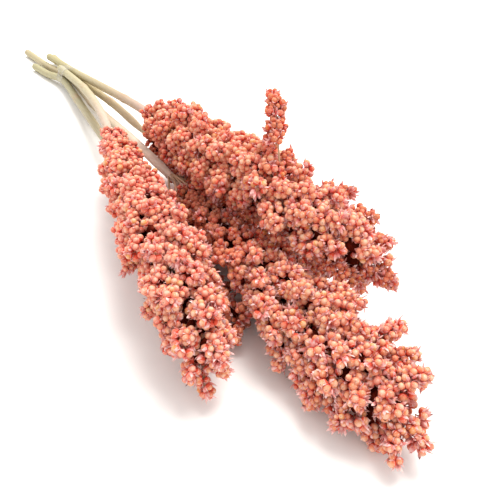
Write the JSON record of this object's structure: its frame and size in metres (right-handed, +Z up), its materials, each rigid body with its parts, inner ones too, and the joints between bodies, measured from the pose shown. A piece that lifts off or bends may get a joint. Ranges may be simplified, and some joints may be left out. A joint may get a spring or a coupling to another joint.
{
  "type": "tied bunch of dried sorghum seed heads",
  "caption": "Tied bunch of dried, pink-dyed sorghum stalks lying down, with dense knobbly grain heads on slim straw-coloured stems and a clear band round the stems.",
  "frame": {"origin": "on the surface under the middle of the bunch's bounding box", "axes": "+X along the bunch from the cut ends of the stems to the tips of the heads, +Z up"},
  "size_m": [0.7324, 0.132, 0.107],
  "materials": {
    "grain": "matte dried grain in pink and peach husks",
    "stem": "satin dried stalk",
    "band": "clear glossy tape"
  },
  "bodies": {
    "root": {"head_lower": "grain", "head_upper": "grain", "head_left": "grain", "head_under_left": "grain", "head_under_right": "grain", "stem_lower": "stem", "stem_upper": "stem", "stem_left": "stem", "stem_under_left": "stem", "stem_under_right": "stem", "band": "band"}
  },
  "joints": []
}
